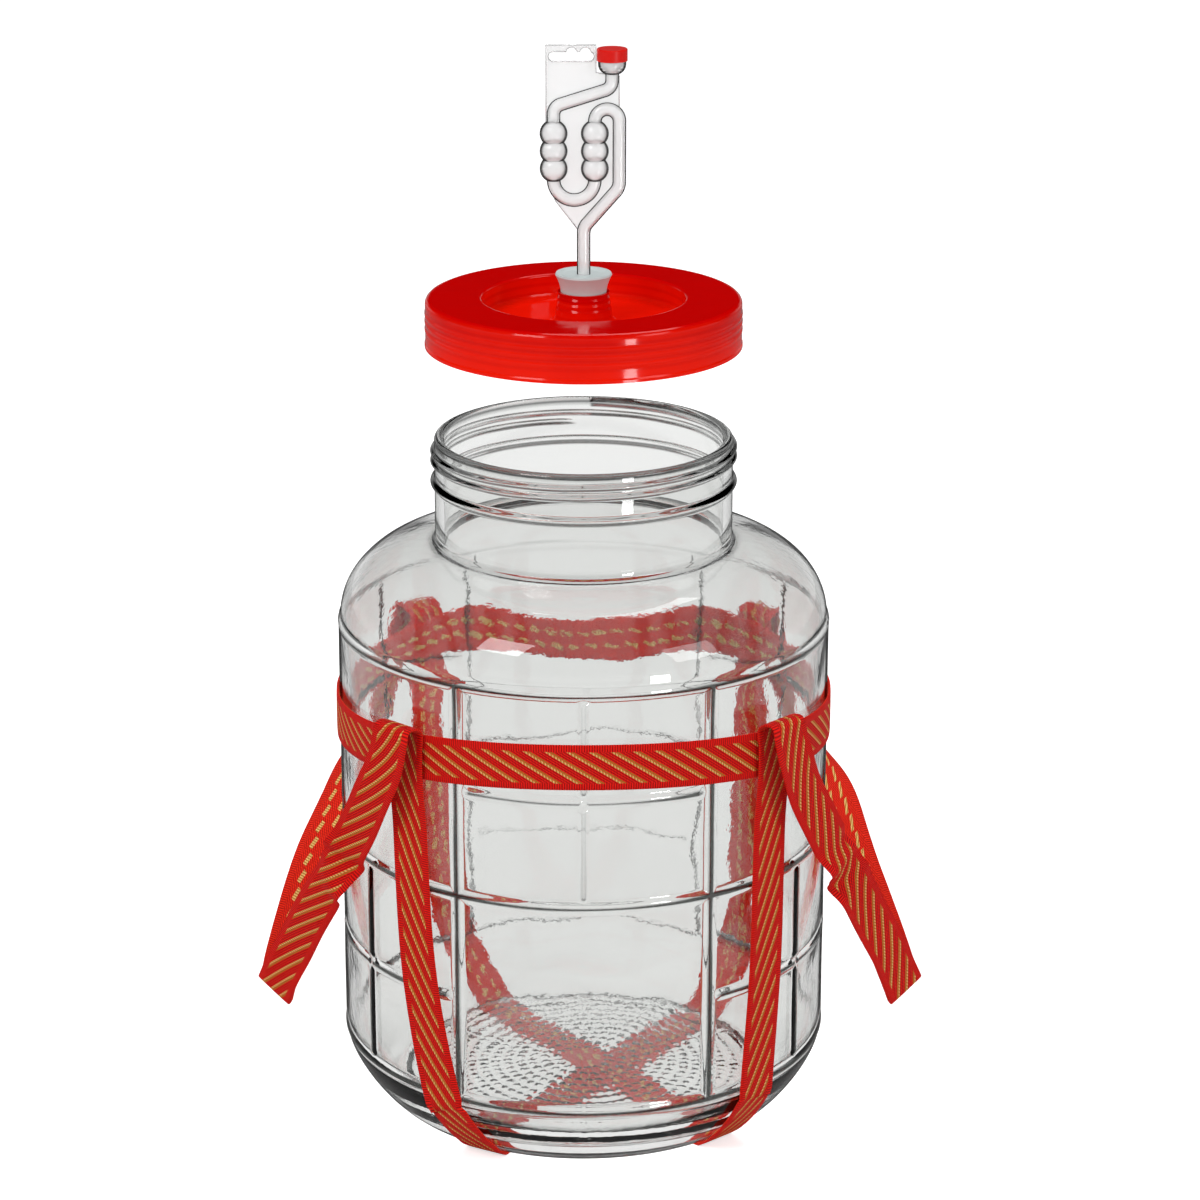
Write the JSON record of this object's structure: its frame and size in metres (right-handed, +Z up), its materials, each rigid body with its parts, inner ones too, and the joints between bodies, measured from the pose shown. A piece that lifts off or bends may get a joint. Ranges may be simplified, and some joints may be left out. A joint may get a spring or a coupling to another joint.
{
  "type": "fermentation jar",
  "caption": "Large ribbed glass jar with a screw lid, rubber bung, bubbling airlock and a woven carrying harness, shown with its lid lifted off.",
  "frame": {"origin": "centre of the resting face, where the harness straps lie flat under the jar", "axes": "+Z up along the jar's axis; the front faces -Y; +X is to the right seen from the front"},
  "size_m": [0.3721, 0.2716, 0.5906],
  "materials": {
    "glass": "clear pressed glass, faintly grey-green",
    "webbing": "red ribbed webbing with gold diagonal stripes",
    "seal": "soft white sealing ring",
    "lid_plastic": "glossy, slightly translucent red",
    "bung_rubber": "pale grey silicone, matt",
    "clear_plastic": "clear moulded plastic",
    "cap_plastic": "glossy red"
  },
  "bodies": {
    "jar": {"jar": "glass", "belt": "webbing", "cradle_strap_a": "webbing", "cradle_strap_b": "webbing"},
    "handle_left": {"handle_left": "webbing"},
    "handle_right": {"handle_right": "webbing"},
    "seal": {"seal_ring": "seal"},
    "lid": {"lid": "lid_plastic"},
    "bung": {"bung": "bung_rubber"},
    "airlock": {"airlock": "clear_plastic"},
    "airlock_cap": {"airlock_cap": "cap_plastic"}
  },
  "joints": [
    {"name": "handle_left_swing", "type": "hinge", "parent": "jar", "child": "handle_left", "pos_m": [-0.09848, 0, 0.2479], "axis": [0, 1, 0], "range_deg": [0, 110]},
    {"name": "handle_right_swing", "type": "hinge", "parent": "jar", "child": "handle_right", "pos_m": [0.10561, 0, 0.2479], "axis": [0, -1, 0], "range_deg": [0, 110]},
    {"name": "lid_lift", "type": "slide", "parent": "jar", "child": "seal", "axis": [0, 0, 1], "range_m": [-0.0723, 0.05]},
    {"name": "lid_turn", "type": "hinge", "parent": "seal", "child": "lid", "pos_m": [0, 0, 0.45], "axis": [0, 0, 1], "continuous": true},
    {"name": "bung_pull", "type": "slide", "parent": "lid", "child": "bung", "axis": [0, 0, 1], "range_m": [0, 0.03]},
    {"name": "airlock_pull", "type": "slide", "parent": "bung", "child": "airlock", "axis": [0, 0, 1], "range_m": [0, 0.04]},
    {"name": "cap_pull", "type": "slide", "parent": "airlock", "child": "airlock_cap", "axis": [0, 0, 1], "range_m": [0, 0.015]}
  ]
}
